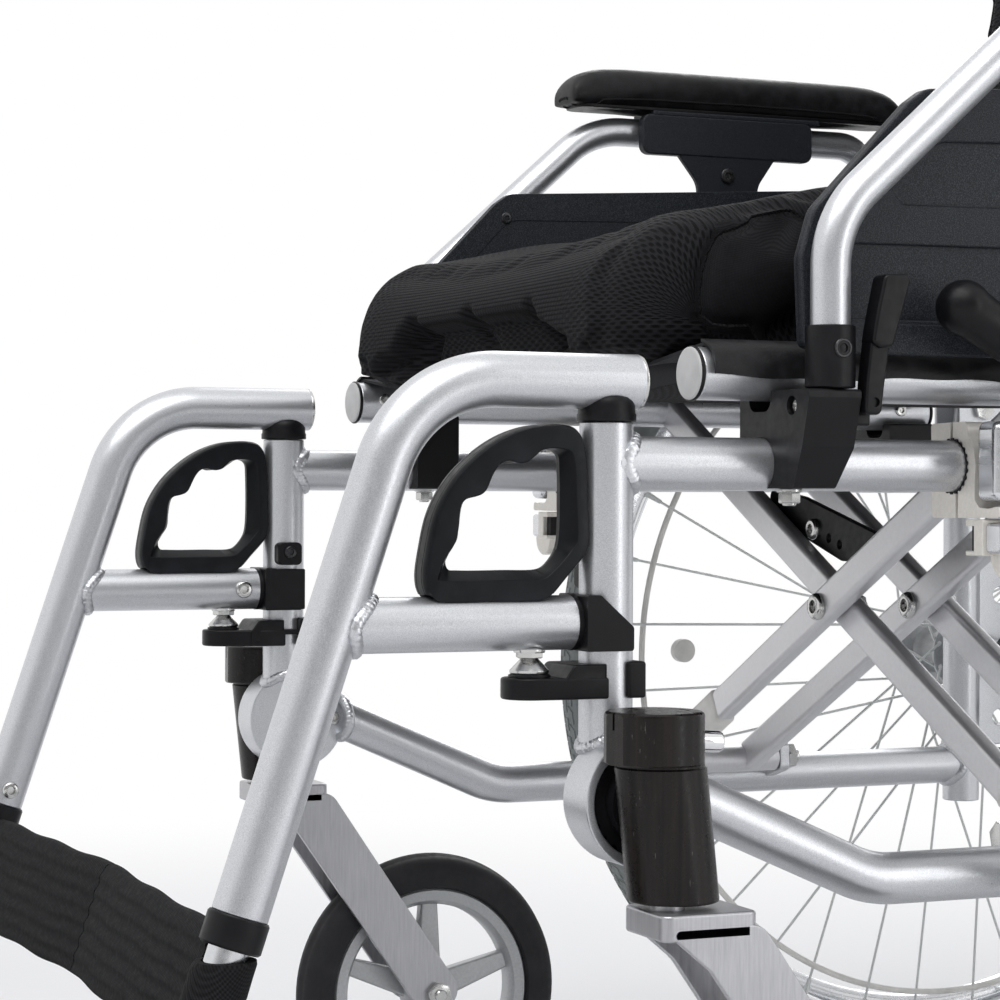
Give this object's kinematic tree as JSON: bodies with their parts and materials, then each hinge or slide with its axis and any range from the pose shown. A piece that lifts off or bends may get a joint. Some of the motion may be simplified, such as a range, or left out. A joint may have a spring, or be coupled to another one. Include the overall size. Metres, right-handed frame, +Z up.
{
  "type": "reclining wheelchair",
  "caption": "Folding manual wheelchair with reclining back, swing-away foot hangers, flip-up armrests, push rims, casters and a padded seat cushion.",
  "frame": {"origin": "on the floor below the middle of the chair's overall length and width", "axes": "+Z up, the chair faces -Y, +X is the sitter's left side"},
  "size_m": [0.6696, 1.1986, 1.0372],
  "materials": {
    "frame_silver": "satin silver enamel",
    "bracket_alloy": "cast, satin",
    "plastic_black": "moulded, lightly grained",
    "panel_black": "grained",
    "housing_black": "semi-gloss black",
    "fork_grey": "brushed",
    "tyre_grey": "matt grey",
    "caster_grey": "matt",
    "rim_steel": "satin",
    "brace_grey": "satin",
    "mesh_black": "spacer mesh",
    "sling_grey": "woven",
    "pad_black": "vinyl cover",
    "grip_black": "moulded grip",
    "rod_chrome": "polished"
  },
  "bodies": {
    "left_frame": {"side_frame_left": "frame_silver", "stop_block_left": "plastic_black", "front_socket_left": "plastic_black", "rear_socket_left": "plastic_black", "brake_mount_left": "bracket_alloy", "caster_housing_left": "housing_black", "gas_cylinder_left": "plastic_black", "anti_tipper_left": "plastic_black"},
    "right_frame": {"side_frame_right": "frame_silver", "stop_block_right": "plastic_black", "front_socket_right": "plastic_black", "rear_socket_right": "plastic_black", "brake_mount_right": "bracket_alloy", "caster_housing_right": "housing_black", "gas_cylinder_right": "plastic_black", "anti_tipper_right": "plastic_black"},
    "brace_b": {"cross_brace_b": "brace_grey", "brace_stay": "plastic_black"},
    "brace_a": {"cross_brace_a": "brace_grey", "seat_sling": "sling_grey", "seat_cushion": "mesh_black"},
    "left_hanger": {"hanger_left": "frame_silver", "hanger_saddle_left": "plastic_black", "calf_strap_left": "mesh_black"},
    "left_release": {"release_handle_left": "plastic_black"},
    "left_footplate": {"footplate_left": "plastic_black"},
    "left_fork": {"caster_fork_left": "fork_grey"},
    "left_caster": {"caster_wheel_left": "caster_grey"},
    "left_wheel": {"rear_wheel_left": "rim_steel", "rear_tyre_left": "tyre_grey"},
    "left_armrest": {"armrest_tube_left": "frame_silver", "armrest_panel_left": "panel_black", "arm_pad_left": "pad_black"},
    "left_latch": {"armrest_latch_left": "plastic_black"},
    "left_brake": {"brake_lever_left": "plastic_black"},
    "left_lever": {"recline_lever_left": "plastic_black"},
    "left_strut_rod": {"gas_rod_left": "rod_chrome"},
    "right_hanger": {"hanger_right": "frame_silver", "hanger_saddle_right": "plastic_black", "calf_strap_right": "mesh_black"},
    "right_release": {"release_handle_right": "plastic_black"},
    "right_footplate": {"footplate_right": "plastic_black"},
    "right_fork": {"caster_fork_right": "fork_grey"},
    "right_caster": {"caster_wheel_right": "caster_grey"},
    "right_wheel": {"rear_wheel_right": "rim_steel", "rear_tyre_right": "tyre_grey"},
    "right_armrest": {"armrest_tube_right": "frame_silver", "armrest_panel_right": "panel_black", "arm_pad_right": "pad_black"},
    "right_latch": {"armrest_latch_right": "plastic_black"},
    "right_brake": {"brake_lever_right": "plastic_black"},
    "right_lever": {"recline_lever_right": "plastic_black"},
    "right_strut_rod": {"gas_rod_right": "rod_chrome"},
    "left_back": {"back_cane_left": "frame_silver", "push_grip_left": "grip_black", "back_upholstery": "mesh_black", "headrest": "pad_black"},
    "right_back": {"back_cane_right": "frame_silver", "push_grip_right": "grip_black"}
  },
  "joints": [
    {"name": "fold", "type": "hinge", "parent": "left_frame", "child": "brace_b", "pos_m": [0.208, 0.0326, 0.243], "axis": [0, 1, 0], "range_deg": [0, 43], "deforming": ["seat_sling", "seat_cushion", "back_upholstery", "headrest", "calf_strap_left", "calf_strap_right"]},
    {"name": "brace_centre", "type": "hinge", "parent": "brace_b", "child": "brace_a", "pos_m": [0, 0.0326, 0.3525], "axis": [0, 1, 0], "range_deg": [-86, 0]},
    {"name": "right_fold", "type": "hinge", "parent": "brace_a", "child": "right_frame", "pos_m": [-0.208, 0.0326, 0.243], "axis": [0, 1, 0], "range_deg": [0, 43]},
    {"name": "hanger_swing_left", "type": "hinge", "parent": "left_frame", "child": "left_hanger", "pos_m": [0.233, -0.2347, 0.47], "axis": [0, 0, 1], "range_deg": [0, 90]},
    {"name": "release_handle_left", "type": "hinge", "parent": "left_hanger", "child": "left_release", "pos_m": [0.233, -0.2507, 0.444], "axis": [1, 0, 0], "range_deg": [-8, 0], "stiffness_Nm_per_rad": 1.5},
    {"name": "footplate_flip_left", "type": "hinge", "parent": "left_hanger", "child": "left_footplate", "pos_m": [0.233, -0.5093, 0.105], "axis": [0, 1, 0], "range_deg": [0, 90]},
    {"name": "caster_swivel_left", "type": "hinge", "parent": "left_frame", "child": "left_fork", "pos_m": [0.285, -0.2287, 0.231], "axis": [0, 0, 1], "continuous": true},
    {"name": "caster_roll_left", "type": "hinge", "parent": "left_fork", "child": "left_caster", "pos_m": [0.285, -0.1167, 0.09], "axis": [1, 0, 0], "continuous": true},
    {"name": "wheel_roll_left", "type": "hinge", "parent": "left_frame", "child": "left_wheel", "pos_m": [0.301, 0.2943, 0.305], "axis": [1, 0, 0], "continuous": true},
    {"name": "armrest_flip_left", "type": "hinge", "parent": "left_frame", "child": "left_armrest", "pos_m": [0.268, 0.2103, 0.462], "axis": [1, 0, 0], "range_deg": [-100, 0]},
    {"name": "armrest_latch_left", "type": "hinge", "parent": "left_frame", "child": "left_latch", "pos_m": [0.2755, -0.1182, 0.461], "axis": [1, 0, 0], "range_deg": [-20, 0], "stiffness_Nm_per_rad": 0.6},
    {"name": "brake_left", "type": "hinge", "parent": "left_frame", "child": "left_brake", "pos_m": [0.276, 0.0113, 0.447], "axis": [1, 0, 0], "range_deg": [0, 7.5]},
    {"name": "recline_left", "type": "hinge", "parent": "left_frame", "child": "left_back", "pos_m": [0.231, 0.2703, 0.478], "axis": [1, 0, 0], "range_deg": [-50, 0]},
    {"name": "recline_lever_left", "type": "hinge", "parent": "left_back", "child": "left_lever", "pos_m": [0.231, 0.38543, 0.91745], "axis": [1, 0, 0], "range_deg": [0, 15], "stiffness_Nm_per_rad": 0.8},
    {"name": "strut_left", "type": "slide", "parent": "left_frame", "child": "left_strut_rod", "axis": [0, 0, 1], "range_m": [-0.05072, 0]},
    {"name": "hanger_swing_right", "type": "hinge", "parent": "right_frame", "child": "right_hanger", "pos_m": [-0.233, -0.2347, 0.47], "axis": [0, 0, -1], "range_deg": [0, 90]},
    {"name": "release_handle_right", "type": "hinge", "parent": "right_hanger", "child": "right_release", "pos_m": [-0.233, -0.2507, 0.444], "axis": [1, 0, 0], "range_deg": [-8, 0], "stiffness_Nm_per_rad": 1.5},
    {"name": "footplate_flip_right", "type": "hinge", "parent": "right_hanger", "child": "right_footplate", "pos_m": [-0.233, -0.5093, 0.105], "axis": [0, -1, 0], "range_deg": [0, 90]},
    {"name": "caster_swivel_right", "type": "hinge", "parent": "right_frame", "child": "right_fork", "pos_m": [-0.285, -0.2287, 0.231], "axis": [0, 0, -1], "continuous": true},
    {"name": "caster_roll_right", "type": "hinge", "parent": "right_fork", "child": "right_caster", "pos_m": [-0.285, -0.1167, 0.09], "axis": [1, 0, 0], "continuous": true},
    {"name": "wheel_roll_right", "type": "hinge", "parent": "right_frame", "child": "right_wheel", "pos_m": [-0.301, 0.2943, 0.305], "axis": [1, 0, 0], "continuous": true},
    {"name": "armrest_flip_right", "type": "hinge", "parent": "right_frame", "child": "right_armrest", "pos_m": [-0.268, 0.2103, 0.462], "axis": [1, 0, 0], "range_deg": [-100, 0]},
    {"name": "armrest_latch_right", "type": "hinge", "parent": "right_frame", "child": "right_latch", "pos_m": [-0.2755, -0.1182, 0.461], "axis": [1, 0, 0], "range_deg": [-20, 0], "stiffness_Nm_per_rad": 0.6},
    {"name": "brake_right", "type": "hinge", "parent": "right_frame", "child": "right_brake", "pos_m": [-0.276, 0.0113, 0.447], "axis": [1, 0, 0], "range_deg": [0, 7.5]},
    {"name": "recline_right", "type": "hinge", "parent": "right_frame", "child": "right_back", "pos_m": [-0.231, 0.2703, 0.478], "axis": [1, 0, 0], "range_deg": [-50, 0]},
    {"name": "recline_lever_right", "type": "hinge", "parent": "right_back", "child": "right_lever", "pos_m": [-0.231, 0.38543, 0.91745], "axis": [1, 0, 0], "range_deg": [0, 15], "stiffness_Nm_per_rad": 0.8},
    {"name": "strut_right", "type": "slide", "parent": "right_frame", "child": "right_strut_rod", "axis": [0, 0, 1], "range_m": [-0.05072, 0]}
  ],
  "couplings": [
    {"joint": "brace_centre", "follows": "fold", "ratio": -2},
    {"joint": "right_fold", "follows": "fold", "ratio": 1},
    {"joint": "footplate_flip_left", "follows": "fold", "ratio": 2.093},
    {"joint": "strut_left", "follows": "recline_left", "m_per_rad": 0.058114},
    {"joint": "footplate_flip_right", "follows": "fold", "ratio": 2.093},
    {"joint": "strut_right", "follows": "recline_left", "m_per_rad": 0.058114},
    {"joint": "recline_right", "follows": "recline_left", "ratio": 1}
  ]
}
